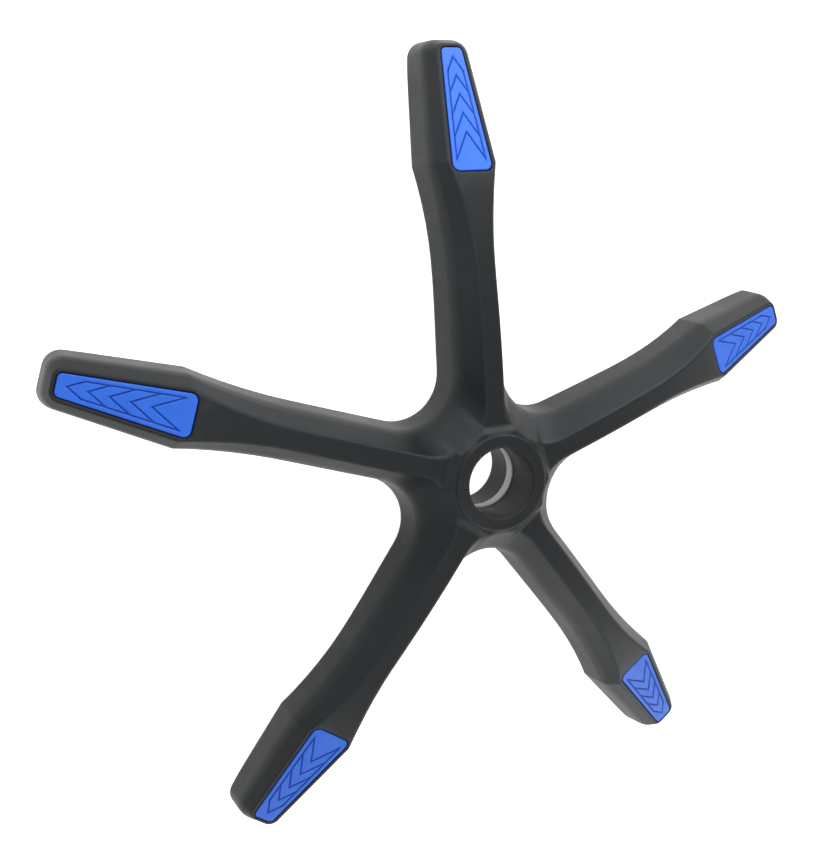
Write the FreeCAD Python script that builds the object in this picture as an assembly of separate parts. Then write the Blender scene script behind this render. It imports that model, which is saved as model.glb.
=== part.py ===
import FreeCAD, Part
import math
import os
from collections import namedtuple

V = FreeCAD.Vector
Z_AXIS = V(0, 0, 1)
ORIGIN = V(0, 0, 0)

os.makedirs("parts", exist_ok=True)

# Layout: five equal arms about the hub axis, built with the feet resting on z = 0
ARM_COUNT = 5
SECTOR_DEG = 360.0 / ARM_COUNT
FIRST_ARM_DEG = -90.0
TIP_R = 320.0
KNEE_R = 229.0
FLARE_R = 153.0

# Heights of the arm's three long edges
CREST_TOP_Z = 88.0
CREST_FLAT_R = 46.0
CREST_BEND = 692.0
CREST_DIP_R = 202.0
PAD_PLANE_R = 222.0
PAD_SLOPE = 0.343
HUB_RISE = 4.4
HUB_RISE_RUN = 6.5
HUB_LEDGE = 1.2
SHOULDER_TOP_Z = 63.2
SHOULDER_FLAT_R = 30.0
SHOULDER_BEND = 1340.0
SHOULDER_DROP = 0.303
SILL_TOP_Z = 33.2
SILL_FLAT_R = 120.0
SILL_BEND = 405.0
SILL_DROP = 0.245
SILL_TOE_R = 289.0

# Points that the long edges are drawn through
VALLEY_STEPS = 12
WAIST_STEPS = 10
TAPER_STEPS = 8
TAPER_BIAS = 1.5
CORNER_STEPS = 6

# Softness of the long edges, as a share of the faces beside them
CREST_ROUND = 1.3
CREST_SHARE = 0.06
SHOULDER_SHARE = 0.24
WALL_SHARE = 0.20

# Moulded walls and ribs
SIDE_WALL = 4.2
CREST_WALL = 2.3
TOP_WALL = 4.5
SHOULDER_WALL_DROP = 1.0
SILL_WALL_DROP = 6.0
PAD_FLOOR = 3.0
CENTRE_RIB = 2.8
CROSS_RIB = 2.4
RIB_LIFT = 4.0
RIB_SINK = 2.0
RIB_STEPS = 14
RIB_OVERRUN = 1.6
VALLEY_RIB_SINK = 4.0
CROSS_LIFT = 7.0
CROSS_FIRST_R = 82.0
CROSS_PITCH = 30.0
CROSS_COUNT = 6

# Hub
BORE_R = 26.1
COLLAR_R = 36.0
COLLAR_STEP = 2.0
COLLAR_TOP_Z = CREST_TOP_Z + HUB_RISE + COLLAR_STEP
COLLAR_ROUND = 1.5
COLLAR_SINK = 2.0
TUBE_R = 34.5
TUBE_FOOT_R = 33.0
HUB_BOTTOM_Z = 25.0
FOOT_BEVEL = 1.0
TUBE_STEP = 1.0
BORE_LEAD = 0.9

# Steel ring held in a groove of the bore
RING_BORE_R = 25.0
RING_OUTER_R = 28.0
RING_Z = 52.5
RING_HEIGHT = 8.3
RING_CLEAR = 0.1
DATUM_Z = RING_Z + RING_HEIGHT / 2

# Caster sockets for an 11 mm stem
SOCKET_R = 5.5
SOCKET_DEPTH = 25.0
SOCKET_INSET = 25.0
SOCKET_AT_R = TIP_R - SOCKET_INSET
BOSS_R = 10.0
BOSS_RIB_COUNT = 3
SOCKET_LEAD = 1.0

# Step pads, laid out along the slope from their inner end
PAD_START_R = 222.9
PAD_LENGTH = 93.6
PAD_INNER_HALF = 15.85
PAD_OUTER_HALF = 8.2
PAD_INNER_CORNER = 5.5
PAD_OUTER_CORNER = 4.0
PAD_THICK = 3.0
PAD_PROUD = 0.3
PAD_EDGE = 1.2
PAD_CLEAR = 0.5
PAD_HEADROOM = 5.0

# Engraved arrow pattern, measured from the pad's outer end
ARROW_COUNT = 5
ARROW_FIRST = 7.5
ARROW_PITCH = 14.25
ARROW_SLOPE = 0.55
BORDER_AT = 18.0
BORDER_HALF = 6.0
BORDER_SLOPE = 0.0795
GROOVE_WIDTH = 1.9
GROOVE_DEPTH = 0.55

# Snap prongs under each pad
PRONG_PLACES = (24.0, 50.0)
PRONG_SIDE = 5.0
PRONG_THICK = 1.8
PRONG_WIDE = 6.0
PRONG_LENGTH = 5.6
PRONG_SINK = 1.0
BARB_REACH = 1.2
BARB_RAMP = 1.2
BARB_GAP = 0.2
SLOT_ROOM = 3.3

Edge = namedtuple("Edge", "valley waist knee taper end corner height")


def crest_z(x):
    """Height of the arm's top: a ramp up to the collar, a bend down, then the pad's plane."""
    if x < COLLAR_R + HUB_RISE_RUN:
        climb = min(max((COLLAR_R + HUB_RISE_RUN - x) / HUB_RISE_RUN, 0.0), 1.0)
        return CREST_TOP_Z + HUB_RISE * climb * climb * (3 - 2 * climb)
    if x < CREST_DIP_R:
        return CREST_TOP_Z - max(x - CREST_FLAT_R, 0.0) ** 2 / (2 * CREST_BEND)
    dip_slope = (CREST_DIP_R - CREST_FLAT_R) / CREST_BEND
    dip_z = CREST_TOP_Z - (CREST_DIP_R - CREST_FLAT_R) ** 2 / (2 * CREST_BEND)
    span = PAD_PLANE_R - CREST_DIP_R
    if x < PAD_PLANE_R:
        run = x - CREST_DIP_R
        return dip_z - dip_slope * run - (PAD_SLOPE - dip_slope) * run ** 2 / (2 * span)
    plane_z = dip_z - (dip_slope + PAD_SLOPE) * span / 2
    return plane_z - PAD_SLOPE * (x - PAD_PLANE_R)


def shoulder_z(x):
    """Height of the soft edge between the sloping flank and the upright wall."""
    inner = min(max(x, SHOULDER_FLAT_R), KNEE_R)
    z = SHOULDER_TOP_Z - (inner - SHOULDER_FLAT_R) ** 2 / (2 * SHOULDER_BEND)
    return z - SHOULDER_DROP * max(x - KNEE_R, 0.0)


def sill_z(x):
    """Height of the wall's lower edge: level, drooping, then easing on to the floor."""
    inner = min(max(x, SILL_FLAT_R), KNEE_R)
    z = SILL_TOP_Z - (inner - SILL_FLAT_R) ** 2 / (2 * SILL_BEND)
    z -= SILL_DROP * max(min(x, SILL_TOE_R) - KNEE_R, 0.0)
    if x <= SILL_TOE_R:
        return z
    reach = 2 * z / SILL_DROP
    run = min(x - SILL_TOE_R, reach)
    return z - SILL_DROP * run + SILL_DROP * run ** 2 / (2 * reach)


CREST = Edge(valley=COLLAR_R + HUB_LEDGE, waist=7.3, knee=18.4, taper=0.0877,
             end=TIP_R - 5.8, corner=6.9, height=crest_z)
SHOULDER = Edge(valley=58.9, waist=18.5, knee=26.3, taper=0.101,
                end=TIP_R - 1.3, corner=12.0, height=shoulder_z)
SILL = Edge(valley=61.7, waist=21.9, knee=28.5, taper=0.096,
            end=TIP_R, corner=13.2, height=sill_z)


def inset(edge, inward, drop):
    """The same edge moved in from the outside by inward and down by drop."""
    return Edge(edge.valley - inward, edge.waist - inward, edge.knee - inward, edge.taper,
                edge.end - inward, edge.corner - inward, lambda x: edge.height(x) - drop(x))


def lift(edge, plan):
    return [V(x, y, edge.height(x)) for x, y in plan]


def hub_run(edge):
    """From the valley on the sector's boundary, round into the arm and out to the knee."""
    half = math.radians(SECTOR_DEG / 2)
    reach = (edge.valley - edge.waist) / (1 - math.sin(half))
    radius = reach - edge.valley
    centre_x = reach * math.cos(half)
    centre_y = reach * math.sin(half)
    plan = []
    for step in range(VALLEY_STEPS + 1):
        angle = math.pi + half + (math.pi / 2 - half) * step / VALLEY_STEPS
        plan.append((centre_x + radius * math.cos(angle), centre_y + radius * math.sin(angle)))
    for step in range(1, WAIST_STEPS + 1):
        x = centre_x + (KNEE_R - centre_x) * step / WAIST_STEPS
        flare = max(x - FLARE_R, 0.0) / (KNEE_R - FLARE_R)
        plan.append((x, edge.waist + (edge.knee - edge.waist) * flare ** 2))
    return lift(edge, plan)


def corner_centre(edge):
    x = edge.end - edge.corner
    y = edge.knee - edge.taper * (x - KNEE_R) - edge.corner * math.hypot(1, edge.taper)
    return x, y


def taper_run(edge):
    """Straight from the knee to where the tip's corner begins."""
    x, y = corner_centre(edge)
    stop = x + edge.corner * edge.taper / math.hypot(1, edge.taper)
    plan = []
    for step in range(TAPER_STEPS + 1):
        share = 1 - (1 - step / TAPER_STEPS) ** TAPER_BIAS
        along = KNEE_R + (stop - KNEE_R) * share
        plan.append((along, edge.knee - edge.taper * (along - KNEE_R)))
    return lift(edge, plan)


def corner_run(edge):
    """Round the tip's corner to its end face."""
    x, y = corner_centre(edge)
    first = math.atan2(1, edge.taper)
    plan = []
    for step in range(CORNER_STEPS + 1):
        angle = first * (1 - step / CORNER_STEPS)
        plan.append((x + edge.corner * math.cos(angle), y + edge.corner * math.sin(angle)))
    return lift(edge, plan)


def curve(points, parameters):
    spline = Part.BSplineCurve()
    spline.interpolate(Points=points, Parameters=parameters)
    return spline


def chord_parameters(points):
    total = [0.0]
    for a, b in zip(points, points[1:]):
        total.append(total[-1] + (b - a).Length)
    return total


def between(a, b, share):
    """The curve a given share of the way from a to b, pole by pole."""
    mixed = a.copy()
    for index, (pa, pb) in enumerate(zip(a.getPoles(), b.getPoles()), 1):
        mixed.setPole(index, pa + (pb - pa) * share)
    return mixed


def mirrored(spline):
    other = spline.copy()
    for index, pole in enumerate(spline.getPoles(), 1):
        other.setPole(index, V(pole.x, -pole.y, pole.z))
    return other


def patch(rows):
    """A face through the given rows: two make a ruled strip, three a rounded one."""
    first = rows[0]
    surface = Part.BSplineSurface()
    surface.buildFromPolesMultsKnots(
        [row.getPoles() for row in rows], [len(rows)] * 2, first.getMultiplicities(),
        [0.0, 1.0], first.getKnots(), False, False, len(rows) - 1, first.Degree)
    return surface.toShape()


def side_patches(crest_in, crest, shoulder, sill):
    """Rounded crest, flank, rounded shoulder and wall along one run."""
    if crest_in is None:
        return [patch([crest, shoulder]), patch([shoulder, sill])]
    crest_out = between(crest, shoulder, CREST_SHARE)
    shoulder_up = between(shoulder, crest, SHOULDER_SHARE)
    shoulder_down = between(shoulder, sill, WALL_SHARE)
    return [patch([crest_in, crest, crest_out]), patch([crest_out, shoulder_up]),
            patch([shoulder_up, shoulder, shoulder_down]), patch([shoulder_down, sill])]


def level_polygon(corner):
    ring = []
    for arm in range(ARM_COUNT + 1):
        turn = FreeCAD.Rotation(Z_AXIS, SECTOR_DEG * (arm % ARM_COUNT))
        ring.append(turn.multVec(corner))
    return Part.Face(Part.makePolygon(ring))


def star(crest, shoulder, sill, rounded):
    """Closed solid of all five arms between the crest and the sill edges."""
    edges = [crest, shoulder, sill]
    if rounded:
        edges.insert(0, inset(crest, CREST_ROUND, lambda x: 0.0))
    sector = []
    for run in (hub_run, taper_run, corner_run):
        lines = [run(edge) for edge in edges]
        parameters = chord_parameters(lines[-2])
        rows = [curve(line, parameters) for line in lines]
        other = [mirrored(row) for row in rows]
        for side in (rows, other):
            sector += side_patches(*([None] * (4 - len(side)) + side))
        sector += [patch([rows[0], other[0]]), patch([rows[-1], other[-1]])]
        if run is hub_run:
            first_top = lines[0][0]
            first_sill = lines[-1][0]
    ends = []
    for line in lines:
        a = line[-1]
        ends.append(Part.LineSegment(a, V(a.x, -a.y, a.z)).toBSpline())
    sector += side_patches(*([None] * (4 - len(ends)) + ends))
    faces = [level_polygon(first_top), level_polygon(first_sill)]
    for arm in range(ARM_COUNT):
        for face in sector:
            turned = face.copy()
            turned.rotate(ORIGIN, Z_AXIS, SECTOR_DEG * arm)
            faces.append(turned)
    shell = Part.makeCompound(faces)
    shell.sewShape()
    solid = Part.Solid(shell.Shells[0])
    if solid.Volume < 0:
        solid.reverse()
    return solid


def around(shape):
    """One copy of an arm's feature on each arm."""
    copies = []
    for arm in range(ARM_COUNT):
        turned = shape.copy()
        turned.rotate(ORIGIN, Z_AXIS, SECTOR_DEG * arm)
        copies.append(turned)
    return copies


def hub_body():
    """Collar, tube and foot of the hub as one turned form, the bore not yet cut."""
    top = COLLAR_TOP_Z
    turn = COLLAR_ROUND
    sunk = CREST_TOP_Z - COLLAR_SINK
    bend = turn * (1 - math.sqrt(0.5))
    points = [V(COLLAR_R - turn, 0, top), V(0, 0, top), V(0, 0, HUB_BOTTOM_Z),
              V(TUBE_FOOT_R - FOOT_BEVEL, 0, HUB_BOTTOM_Z), V(TUBE_FOOT_R, 0, HUB_BOTTOM_Z + FOOT_BEVEL),
              V(TUBE_R, 0, sunk - TUBE_STEP), V(COLLAR_R, 0, sunk), V(COLLAR_R, 0, top - turn)]
    lines = [Part.makeLine(a, b) for a, b in zip(points, points[1:])]
    lines.append(Part.Arc(points[-1], V(COLLAR_R - bend, 0, top - bend), points[0]).toShape())
    return Part.Face(Part.Wire(lines)).revolve(ORIGIN, Z_AXIS, 360)


def socket_boss():
    return Part.makeCylinder(BOSS_R, CREST_TOP_Z, V(SOCKET_AT_R, 0, 0))


def centre_rib():
    """Longitudinal rib whose lower edge follows the sill."""
    start = TUBE_FOOT_R - RIB_SINK
    stop = CREST.end
    lower = []
    for step in range(RIB_STEPS + 1):
        x = start + (stop - start) * step / RIB_STEPS
        lower.append(V(x, -CENTRE_RIB / 2, sill_z(x) + RIB_LIFT))
    upper = [V(stop, -CENTRE_RIB / 2, CREST_TOP_Z), V(start, -CENTRE_RIB / 2, CREST_TOP_Z)]
    outline = Part.makePolygon(lower + upper + [lower[0]])
    return Part.Face(outline).extrude(V(0, CENTRE_RIB, 0))


def plate(x, y, angle, length, thick, bottom):
    """Upright rib plate centred on x, y."""
    rib = Part.makeBox(length, thick, CREST_TOP_Z - bottom, V(-length / 2, -thick / 2, bottom))
    rib.rotate(ORIGIN, Z_AXIS, angle)
    rib.translate(V(x, y, 0))
    return rib


def arm_ribs():
    ribs = [centre_rib()]
    across = 2 * SILL.knee
    for count in range(CROSS_COUNT):
        x = CROSS_FIRST_R + CROSS_PITCH * count
        ribs.append(plate(x, 0, 90, across, CROSS_RIB, sill_z(x) + CROSS_LIFT))
    for count in range(1, BOSS_RIB_COUNT):
        angle = 180.0 * count / BOSS_RIB_COUNT
        ribs.append(plate(SOCKET_AT_R, 0, angle, across * RIB_OVERRUN, CROSS_RIB, RIB_LIFT))
    half = math.radians(SECTOR_DEG / 2)
    valley = (TUBE_R + SILL.valley) / 2
    ribs.append(plate(valley * math.cos(half), valley * math.sin(half), SECTOR_DEG / 2,
                      SILL.valley - TUBE_R + 2 * VALLEY_RIB_SINK, CROSS_RIB, SILL_TOP_Z + CROSS_LIFT))
    return ribs


def on_pad(shape):
    """Carry a shape from the pad's own flat layout on to the arm's sloping top."""
    shape.rotate(ORIGIN, V(0, 1, 0), math.degrees(math.atan(PAD_SLOPE)))
    shape.translate(V(PAD_START_R, 0, crest_z(PAD_START_R)))
    return shape


def pad_outline(grow):
    """Tapered plan with rounded corners, wide at the inner end."""
    slope = (PAD_INNER_HALF - PAD_OUTER_HALF) / PAD_LENGTH
    ends = (-grow, PAD_LENGTH + grow)
    halves = [PAD_INNER_HALF - slope * end + grow for end in ends]
    corners = [V(ends[0], -halves[0], 0), V(ends[1], -halves[1], 0),
               V(ends[1], halves[1], 0), V(ends[0], halves[0], 0)]
    radii = [PAD_INNER_CORNER + grow, PAD_OUTER_CORNER + grow]
    radii += radii[::-1]
    wire_edges = []
    tangents = []
    for index, corner in enumerate(corners):
        back = (corners[index - 1] - corner).normalize()
        ahead = (corners[(index + 1) % 4] - corner).normalize()
        half_angle = back.getAngle(ahead) / 2
        reach = radii[index] / math.tan(half_angle)
        middle = (back + ahead).normalize()
        depth = radii[index] / math.sin(half_angle) - radii[index]
        tangents.append((corner + back * reach, corner + middle * depth, corner + ahead * reach))
    for index, (start, middle, stop) in enumerate(tangents):
        wire_edges.append(Part.Arc(start, middle, stop).toShape())
        wire_edges.append(Part.makeLine(stop, tangents[(index + 1) % 4][0]))
    return Part.Face(Part.Wire(wire_edges))


def groove(start, stop, overrun):
    """Straight V-shaped line between two points of the pad's top, run on at both ends."""
    along = stop - start
    wide = V(0, GROOVE_WIDTH, GROOVE_DEPTH)
    root = V(-overrun, 0, PAD_PROUD - GROOVE_DEPTH)
    left = root + V(0, wide.y, 2 * wide.z)
    right = root + V(0, -wide.y, 2 * wide.z)
    section = Part.Face(Part.makePolygon([root, left, right, root]))
    trench = section.extrude(V(along.Length + 2 * overrun, 0, 0))
    trench.rotate(ORIGIN, Z_AXIS, math.degrees(math.atan2(along.y, along.x)))
    trench.translate(V(start.x, start.y, 0))
    return trench


def arrow_field(first, last):
    """Block between the pad's centre line and the border, where the arrows' legs stay."""
    beyond = (first - last).normalize() * PAD_LENGTH
    outer = first + beyond
    inner = last - beyond
    corners = [outer, inner, V(inner.x, 0, 0), V(outer.x, 0, 0), outer]
    block = Part.Face(Part.makePolygon(corners)).extrude(V(0, 0, 4 * GROOVE_DEPTH))
    block.translate(V(0, 0, PAD_PROUD - 2 * GROOVE_DEPTH))
    return block


def arrows():
    """Nested arrows whose legs end on a border parallel to the pad's sides."""
    lines = []
    for side in (-1, 1):
        legs = []
        ends = []
        for count in range(ARROW_COUNT):
            tip = ARROW_FIRST + ARROW_PITCH * count
            share = ARROW_SLOPE - BORDER_SLOPE
            end = (ARROW_SLOPE * tip + BORDER_HALF - BORDER_SLOPE * BORDER_AT) / share
            ends.append(V(PAD_LENGTH - end, side * ARROW_SLOPE * (end - tip), 0))
            legs.append(groove(V(PAD_LENGTH - tip, 0, 0), ends[-1], 2 * GROOVE_WIDTH))
        lines.append(groove(ends[0], ends[-1], 0).fuse(arrow_field(ends[0], ends[-1]).common(legs)))
    return lines[0].fuse(lines[1])


def prong(place, side):
    """Springy prong with a barb that hooks under the moulding's top wall."""
    root = PAD_PROUD - PAD_THICK
    inner = PRONG_SIDE
    outer = PRONG_SIDE + PRONG_THICK
    tip = root - PRONG_LENGTH
    ledge = root - PAD_FLOOR - BARB_GAP
    points = [V(0, inner, root + PRONG_SINK), V(0, inner, tip), V(0, outer, tip),
              V(0, outer + BARB_REACH, ledge - BARB_RAMP), V(0, outer + BARB_REACH, ledge),
              V(0, outer, ledge), V(0, outer, root + PRONG_SINK), V(0, inner, root + PRONG_SINK)]
    shape = Part.Face(Part.makePolygon(points)).extrude(V(PRONG_WIDE, 0, 0))
    shape.translate(V(place - PRONG_WIDE / 2, 0, 0))
    if side < 0:
        shape = shape.mirror(ORIGIN, V(0, 1, 0))
    return shape


def prong_slot(place, side):
    """Slot in the top wall that lets the prong and its barb through."""
    wide = PRONG_WIDE + 2 * PAD_CLEAR
    deep = PRONG_THICK + 2 * PAD_CLEAR
    start = PRONG_SIDE - PAD_CLEAR
    if side < 0:
        start = -start - deep
    foot = PAD_PROUD - PAD_THICK - PRONG_LENGTH - SLOT_ROOM
    tall = PRONG_LENGTH + SLOT_ROOM + PRONG_SINK
    return Part.makeBox(wide, deep, tall, V(place - wide / 2, start, foot))


def step_pad():
    """Inlay with a softened rim, engraved arrows and two pairs of prongs."""
    outline = pad_outline(0)
    outline.translate(V(0, 0, PAD_PROUD - PAD_THICK))
    body = outline.extrude(V(0, 0, PAD_THICK))
    rim = [edge for edge in body.Edges if abs(edge.BoundBox.ZMin - PAD_PROUD) < 1e-6]
    body = body.makeFillet(PAD_EDGE, rim)
    body = body.cut(arrows())
    for place in PRONG_PLACES:
        for side in (-1, 1):
            body = body.fuse(prong(place, side))
    return on_pad(body.removeSplitter())


def pad_recess():
    pocket = pad_outline(PAD_CLEAR)
    pocket.translate(V(0, 0, PAD_PROUD - PAD_THICK))
    cut = pocket.extrude(V(0, 0, PAD_THICK + PAD_HEADROOM))
    slots = [prong_slot(place, side) for place in PRONG_PLACES for side in (-1, 1)]
    return on_pad(cut.multiFuse(slots))


def ring_blank(outer, inner, bottom, height):
    tube = Part.makeCylinder(outer, height, V(0, 0, bottom))
    return tube.cut(Part.makeCylinder(inner, height, V(0, 0, bottom)))


def ceiling_drop(x):
    """The top wall thickens under the pad, where the recess is sunk into it."""
    deep = PAD_THICK - PAD_PROUD + PAD_FLOOR
    share = min(max((x - CREST_DIP_R) / (PAD_PLANE_R - CREST_DIP_R), 0.0), 1.0)
    return TOP_WALL + (deep * math.hypot(1, PAD_SLOPE) - TOP_WALL) * share * share * (3 - 2 * share)


def star_base():
    """The whole nylon moulding: arms, hub, ribs, sockets and pad recesses."""
    outside = star(CREST, SHOULDER, SILL, True)
    hollow = star(inset(CREST, CREST_WALL, ceiling_drop),
                  inset(SHOULDER, SIDE_WALL, lambda x: SHOULDER_WALL_DROP),
                  inset(SILL, SIDE_WALL, lambda x: SILL_WALL_DROP), False)
    hub = hub_body()
    kept = [hub] + around(socket_boss())
    for rib in arm_ribs():
        kept += around(rib)
    pockets = hollow.cut(kept)
    body = outside.cut(pockets)
    toe_height = sill_z(SOCKET_AT_R - BOSS_R) + RIB_LIFT
    toes = around(Part.makeCylinder(BOSS_R, toe_height, V(SOCKET_AT_R, 0, 0)))
    body = body.fuse([hub] + toes)
    bore = [Part.makeCylinder(BORE_R, COLLAR_TOP_Z)]
    bore.append(Part.makeCylinder(RING_OUTER_R + RING_CLEAR, RING_HEIGHT + RING_CLEAR, V(0, 0, RING_Z)))
    bore.append(Part.makeCone(BORE_R, BORE_R + 2 * BORE_LEAD, 2 * BORE_LEAD,
                              V(0, 0, COLLAR_TOP_Z - BORE_LEAD)))
    holes = []
    holes.append(Part.makeCylinder(SOCKET_R, SOCKET_DEPTH, V(SOCKET_AT_R, 0, 0)))
    holes.append(Part.makeCone(SOCKET_R + SOCKET_LEAD, SOCKET_R, SOCKET_LEAD, V(SOCKET_AT_R, 0, 0)))
    holes.append(pad_recess())
    cuts = list(bore)
    for hole in holes:
        cuts += around(hole)
    return body.cut(cuts)


def export(shape, name, angle=0.0):
    """Write a node, turned to its arm and lowered so that the ring's centre is the origin."""
    shape.rotate(ORIGIN, Z_AXIS, angle)
    shape.translate(V(0, 0, -DATUM_Z))
    shape.exportStep("parts/" + name + ".step")
    print(name, shape.ShapeType, len(shape.Solids), shape.isValid(), round(shape.Volume))


export(star_base(), "star_base", FIRST_ARM_DEG)
steel = ring_blank(RING_OUTER_R, RING_BORE_R, RING_Z, RING_HEIGHT)
export(steel, "hub_steel_ring")
for arm in range(ARM_COUNT):
    export(step_pad(), "step_pad_%d" % (arm + 1), FIRST_ARM_DEG + SECTOR_DEG * arm)
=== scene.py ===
import math

import bpy
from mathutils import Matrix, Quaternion, Vector


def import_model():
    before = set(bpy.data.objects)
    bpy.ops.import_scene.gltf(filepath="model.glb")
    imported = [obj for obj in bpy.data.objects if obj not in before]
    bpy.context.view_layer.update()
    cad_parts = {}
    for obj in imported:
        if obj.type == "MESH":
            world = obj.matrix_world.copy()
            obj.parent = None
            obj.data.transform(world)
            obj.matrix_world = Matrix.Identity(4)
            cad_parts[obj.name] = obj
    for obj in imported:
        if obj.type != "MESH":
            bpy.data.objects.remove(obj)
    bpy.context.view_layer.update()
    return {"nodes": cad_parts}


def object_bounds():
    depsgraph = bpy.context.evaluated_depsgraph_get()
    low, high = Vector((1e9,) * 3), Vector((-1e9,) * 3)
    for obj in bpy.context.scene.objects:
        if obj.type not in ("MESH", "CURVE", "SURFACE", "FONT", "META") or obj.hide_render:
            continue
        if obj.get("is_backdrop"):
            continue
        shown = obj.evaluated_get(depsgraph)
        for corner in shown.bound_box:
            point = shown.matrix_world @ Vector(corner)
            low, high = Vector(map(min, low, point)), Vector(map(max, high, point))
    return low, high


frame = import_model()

# Camera, matched to the hub and the five pads
CAMERA_AT = Vector((-0.0795, -0.3773, 0.7035))
CAMERA_LOOKS_AT = Vector((-0.0190, -0.0626, -0.0100))
CAMERA_ROLL_DEG = 113.88
CAMERA_LENS_MM = 43.99
CAMERA_NEAR = 0.05
CAMERA_FAR = 50.0

# Floor and background; the glow is what the camera and reflections see added to the lit floor
WHITE = (1.0, 1.0, 1.0, 1.0)
FLOOR_COLOUR = (0.86, 0.86, 0.86, 1.0)
FLOOR_ROUGHNESS = 0.9
FLOOR_HALF = 6.0
FLOOR_GAP = 0.0002
FLOOR_GLOW_NEAR = 0.80
FLOOR_GLOW_FAR = 1.0
FLOOR_FADE_FROM = 0.5
FLOOR_FADE_TO = 2.0
WORLD_FILL = 0.04
WORLD_WHITE = 1.0

# Most noise lies between these values
NOISE_MIDDLE = (0.35, 0.65)
NOISE_WIDE = (0.3, 0.7)

# Black nylon
NYLON_DARK = (0.0046, 0.0054, 0.0063, 1)
NYLON_LIGHT = (0.0064, 0.0074, 0.0085, 1)
NYLON_FLECK = (0.035, 0.037, 0.040, 1)
NYLON_RUBBED = (0.060, 0.063, 0.067, 1)
NYLON_FLECK_AMOUNT = 0.35
NYLON_WEAR_AMOUNT = 0.35
NYLON_ROUGHNESS = (0.40, 0.50)
NYLON_IOR = 1.53
NYLON_SHEEN = 0.18
NYLON_SHEEN_TINT = (0.94, 0.985, 1.0, 1.0)
NYLON_EDGE_RADIUS = 0.0028

# Blue pads
PAD_DARK = (0.020, 0.121, 0.620, 1)
PAD_LIGHT = (0.024, 0.134, 0.665, 1)
# Painted shade: the dark blue and the low sheen laid into the pads' grooves by an occlusion test
PAD_PAINTED_GROOVE_SHADE = (0.001, 0.020, 0.230, 1)
PAD_ROUGHNESS = (0.46, 0.54)
PAD_SHEEN = 0.3
PAD_SHADED_GROOVE_SHEEN = 0.03
PAD_GROOVE_REACH = 0.003
PAD_GROOVE_SHADE = (0.80, 0.94)
PAD_EDGE_RADIUS = 0.0002

# Steel ring
STEEL_DARK = (0.34, 0.34, 0.33, 1)
STEEL_LIGHT = (0.42, 0.42, 0.41, 1)
STEEL_ROUGHNESS = (0.46, 0.60)
STEEL_TURNING = (0.4, 0.4, 90.0)
STEEL_EDGE_RADIUS = 0.0003

# Lamps: name, azimuth and elevation in degrees, distance and side in metres, watts
LAMPS = [
    ("key_low", 170.0, 18.0, 1.15, 0.7, 9.0),
    ("key_high", 200.0, 48.0, 1.25, 0.8, 4.6),
    ("camera_side_low", 225.0, 18.0, 1.15, 0.7, 2.4),
    ("camera_side_high", 260.0, 48.0, 1.25, 0.8, 1.8),
    ("near_side", 320.0, 48.0, 1.25, 0.8, 2.6),
    ("far_right", 0.0, 18.0, 1.15, 0.7, 3.6),
    ("far_side", 50.0, 18.0, 1.15, 0.7, 4.6),
    ("far_left", 100.0, 18.0, 1.15, 0.7, 2.2),
    ("top", 0.0, 89.0, 1.3, 0.9, 1.8),
    ("arm_end", 225.0, 24.0, 0.85, 0.35, 2.0),
]


def add(made, kind, **values):
    """A node of that kind, with its attributes or its input sockets set by name."""
    node = made.node_tree.nodes.new("ShaderNode" + kind)
    for key, value in values.items():
        if hasattr(node, key):
            setattr(node, key, value)
        else:
            node.inputs[key.replace("_", " ")].default_value = value
    return node


def link(made, source, target):
    """Join an output socket to an input socket."""
    made.node_tree.links.new(source, target)


def material(name):
    """An empty node material and its Principled shader."""
    made = bpy.data.materials.new(name)
    made.use_nodes = True
    made.node_tree.nodes.clear()
    output = add(made, "OutputMaterial")
    shader = add(made, "BsdfPrincipled")
    link(made, shader.outputs["BSDF"], output.inputs["Surface"])
    return made, shader


def noise(made, scale, detail=3.0, roughness=0.5, stretch=None):
    """Object-space noise of the given scale per metre."""
    source = add(made, "TexCoord").outputs["Object"]
    texture = add(made, "TexNoise", Scale=scale, Detail=detail, Roughness=roughness)
    if stretch:
        mapping = add(made, "Mapping", Scale=stretch)
        link(made, source, mapping.inputs["Vector"])
        source = mapping.outputs["Vector"]
    link(made, source, texture.inputs["Vector"])
    return texture.outputs["Fac"]


def remap(made, source, span, to_span):
    """Stretch one (low, high) span of values to another, and clamp."""
    node = add(made, "MapRange", From_Min=span[0], From_Max=span[1],
               To_Min=to_span[0], To_Max=to_span[1])
    link(made, source, node.inputs["Value"])
    return node.outputs["Result"]


def blend(made, factor, base, over):
    """Lay one fixed colour over another, which is fixed or an output."""
    node = add(made, "Mix", data_type="RGBA")
    if isinstance(base, tuple):
        node.inputs["A"].default_value = base
    else:
        link(made, base, node.inputs["A"])
    node.inputs["B"].default_value = over
    link(made, factor, node.inputs["Factor"])
    return node.outputs["Result"]


def math_node(made, operation, first, second):
    """A maths node on two values, each a number or an output."""
    node = add(made, "Math", operation=operation)
    for socket, value in zip(node.inputs, (first, second)):
        if isinstance(value, float):
            socket.default_value = value
        else:
            link(made, value, socket)
    return node.outputs["Value"]


def relief(made, shader, edge_radius, heights):
    """Bump from several (height, strength, distance) layers over softly rounded edges."""
    normal = add(made, "Bevel", Radius=edge_radius, samples=6).outputs["Normal"]
    for height, strength, distance in heights:
        bump = add(made, "Bump", Strength=strength, Distance=distance)
        link(made, height, bump.inputs["Height"])
        link(made, normal, bump.inputs["Normal"])
        normal = bump.outputs["Normal"]
    link(made, normal, shader.inputs["Normal"])


def edge_wear(made):
    """Rises on sharp outward edges, broken up by noise."""
    pointiness = add(made, "NewGeometry").outputs["Pointiness"]
    edge = remap(made, pointiness, (0.52, 0.60), (0.0, 1.0))
    patches = remap(made, noise(made, 90.0), NOISE_MIDDLE, (0.2, 1.0))
    return math_node(made, "MULTIPLY", edge, patches)


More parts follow.
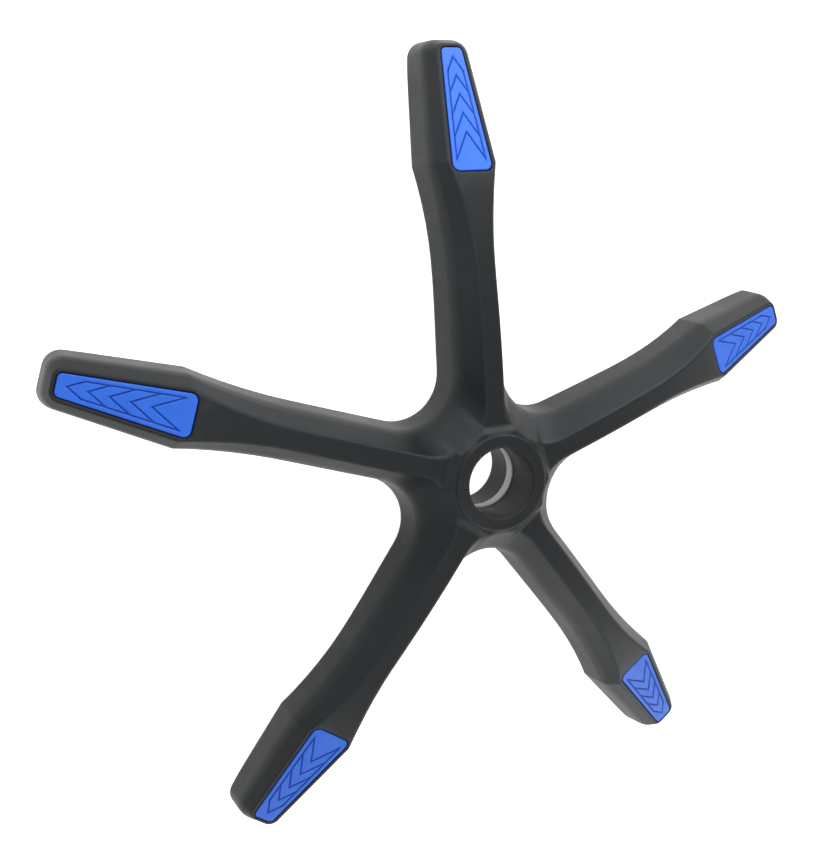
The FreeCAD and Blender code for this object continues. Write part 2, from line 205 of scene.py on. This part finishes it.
def moulded_nylon():
    """Black glass-filled nylon: fine spark grain, slow gloss changes, rubbed edges."""
    made, shader = material("moulded_nylon")
    cloud = remap(made, noise(made, 14.0, 4.0), NOISE_MIDDLE, (0.0, 1.0))
    colour = blend(made, cloud, NYLON_DARK, NYLON_LIGHT)
    fleck = remap(made, noise(made, 2600.0, 2.0), (0.62, 0.75), (0.0, NYLON_FLECK_AMOUNT))
    colour = blend(made, fleck, colour, NYLON_FLECK)
    wear = math_node(made, "MULTIPLY", edge_wear(made), NYLON_WEAR_AMOUNT)
    colour = blend(made, wear, colour, NYLON_RUBBED)
    link(made, colour, shader.inputs["Base Color"])
    gloss = remap(made, noise(made, 22.0, 5.0, 0.6), NOISE_WIDE, NYLON_ROUGHNESS)
    link(made, gloss, shader.inputs["Roughness"])
    shader.inputs["IOR"].default_value = NYLON_IOR
    shader.inputs["Specular IOR Level"].default_value = NYLON_SHEEN
    shader.inputs["Specular Tint"].default_value = NYLON_SHEEN_TINT
    sink = noise(made, 24.0, 1.0)
    grain = noise(made, 1500.0, 2.0)
    relief(made, shader, NYLON_EDGE_RADIUS, [(sink, 0.25, 0.0006), (grain, 0.28, 0.00006)])
    return made


def pad_rubber():
    """Royal blue satin pad, with painted shade in its grooves: darker and duller where an occlusion
    test finds them hemmed in.
    """
    made, shader = material("pad_rubber")
    cloud = remap(made, noise(made, 60.0), NOISE_MIDDLE, (0.0, 1.0))
    # Painted shade: the occlusion test darkens the blue down in the grooves
    shade = add(made, "AmbientOcclusion", Distance=PAD_GROOVE_REACH, samples=16)
    painted_groove_shade = remap(made, shade.outputs["AO"], PAD_GROOVE_SHADE, (1.0, 0.0))
    colour = blend(made, painted_groove_shade, blend(made, cloud, PAD_DARK, PAD_LIGHT), PAD_PAINTED_GROOVE_SHADE)
    link(made, colour, shader.inputs["Base Color"])
    gloss = remap(made, noise(made, 90.0), NOISE_WIDE, PAD_ROUGHNESS)
    link(made, gloss, shader.inputs["Roughness"])
    # Painted shade: less sheen down in the grooves, by the same occlusion test
    sheen = remap(made, painted_groove_shade, (0.0, 1.0), (PAD_SHEEN, PAD_SHADED_GROOVE_SHEEN))
    link(made, sheen, shader.inputs["Specular IOR Level"])
    relief(made, shader, PAD_EDGE_RADIUS, [(noise(made, 2200.0, 2.0), 0.16, 0.00004)])
    return made


def turned_steel():
    """Turned steel with fine rings round the hub's axis."""
    made, shader = material("turned_steel")
    shader.inputs["Metallic"].default_value = 1.0
    lines = noise(made, 40.0, 4.0, 0.7, STEEL_TURNING)
    link(made, blend(made, lines, STEEL_DARK, STEEL_LIGHT), shader.inputs["Base Color"])
    link(made, remap(made, lines, NOISE_WIDE, STEEL_ROUGHNESS), shader.inputs["Roughness"])
    relief(made, shader, STEEL_EDGE_RADIUS, [(lines, 0.25, 0.00008)])
    return made


def dress(made, names):
    """Give CAD nodes a finish by their material slots."""
    for name in names:
        slots = frame["nodes"][name].data.materials
        slots.clear()
        slots.append(made)


def background_ray(made):
    """1 for the camera's, reflected and transmitted rays, which all see the background as white."""
    path = add(made, "LightPath")
    seen = math_node(made, "MAXIMUM", path.outputs["Is Camera Ray"], path.outputs["Is Glossy Ray"])
    return math_node(made, "MAXIMUM", seen, path.outputs["Is Transmission Ray"])


def place(name, data):
    """A new object in the scene."""
    made = bpy.data.objects.new(name, data)
    bpy.context.scene.collection.objects.link(made)
    return made


def turn(made, rotation):
    """Turn an object by a quaternion."""
    made.rotation_mode = "QUATERNION"
    made.rotation_quaternion = rotation


def floor():
    """Pale floor a hair below the part's feet: it keeps its shadow and is white far from it."""
    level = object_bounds()[0].z - FLOOR_GAP
    mesh = bpy.data.meshes.new("floor")
    corners = [(x * FLOOR_HALF, y * FLOOR_HALF, level) for x, y in
               ((-1, -1), (1, -1), (1, 1), (-1, 1))]
    mesh.from_pydata(corners, [], [(0, 1, 2, 3)])
    plane = place("floor", mesh)
    made, shader = material("floor_paint")
    shader.inputs["Base Color"].default_value = FLOOR_COLOUR
    shader.inputs["Roughness"].default_value = FLOOR_ROUGHNESS
    shader.inputs["Specular IOR Level"].default_value = 0.0
    shader.inputs["Emission Color"].default_value = WHITE
    away = add(made, "VectorMath", operation="LENGTH")
    link(made, add(made, "TexCoord").outputs["Object"], away.inputs["Vector"])
    fade = remap(made, away.outputs["Value"], (FLOOR_FADE_FROM, FLOOR_FADE_TO),
                 (FLOOR_GLOW_NEAR, FLOOR_GLOW_FAR))
    glow = math_node(made, "MULTIPLY", background_ray(made), fade)
    link(made, glow, shader.inputs["Emission Strength"])
    mesh.materials.append(made)
    plane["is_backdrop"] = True


def world():
    """White where the camera or a reflection looks past the floor, plain soft fill elsewhere."""
    made = bpy.data.worlds.new("studio")
    bpy.context.scene.world = made
    made.use_nodes = True
    made.node_tree.nodes.clear()
    output = add(made, "OutputWorld")
    fill = add(made, "Background", Color=WHITE, Strength=WORLD_FILL)
    white = add(made, "Background", Color=WHITE, Strength=WORLD_WHITE)
    mix = add(made, "MixShader")
    link(made, background_ray(made), mix.inputs["Fac"])
    link(made, fill.outputs["Background"], mix.inputs[1])
    link(made, white.outputs["Background"], mix.inputs[2])
    link(made, mix.outputs["Shader"], output.inputs["Surface"])


def lamp(name, azimuth, elevation, distance, side, watts):
    """Soft square lamp aimed at the hub from the given direction."""
    data = bpy.data.lights.new(name, "AREA")
    data.size = side
    data.energy = watts
    a = math.radians(azimuth)
    e = math.radians(elevation)
    away = Vector((math.cos(a) * math.cos(e), math.sin(a) * math.cos(e), math.sin(e)))
    made = place(name, data)
    made.location = away * distance
    turn(made, away.to_track_quat("Z", "Y"))


def camera():
    """Camera at the photo's angle."""
    data = bpy.data.cameras.new("camera")
    data.lens = CAMERA_LENS_MM
    data.clip_start = CAMERA_NEAR
    data.clip_end = CAMERA_FAR
    made = place("camera", data)
    made.location = CAMERA_AT
    aim = (CAMERA_LOOKS_AT - CAMERA_AT).to_track_quat("-Z", "Y")
    turn(made, aim @ Quaternion((0, 0, 1), math.radians(CAMERA_ROLL_DEG)))
    bpy.context.scene.camera = made


dress(moulded_nylon(), ["star_base"])
dress(turned_steel(), ["hub_steel_ring"])
dress(pad_rubber(), [name for name in frame["nodes"] if name.startswith("step_pad_")])
floor()
world()
for row in LAMPS:
    lamp(*row)
camera()
bpy.context.scene.view_settings.view_transform = "Standard"
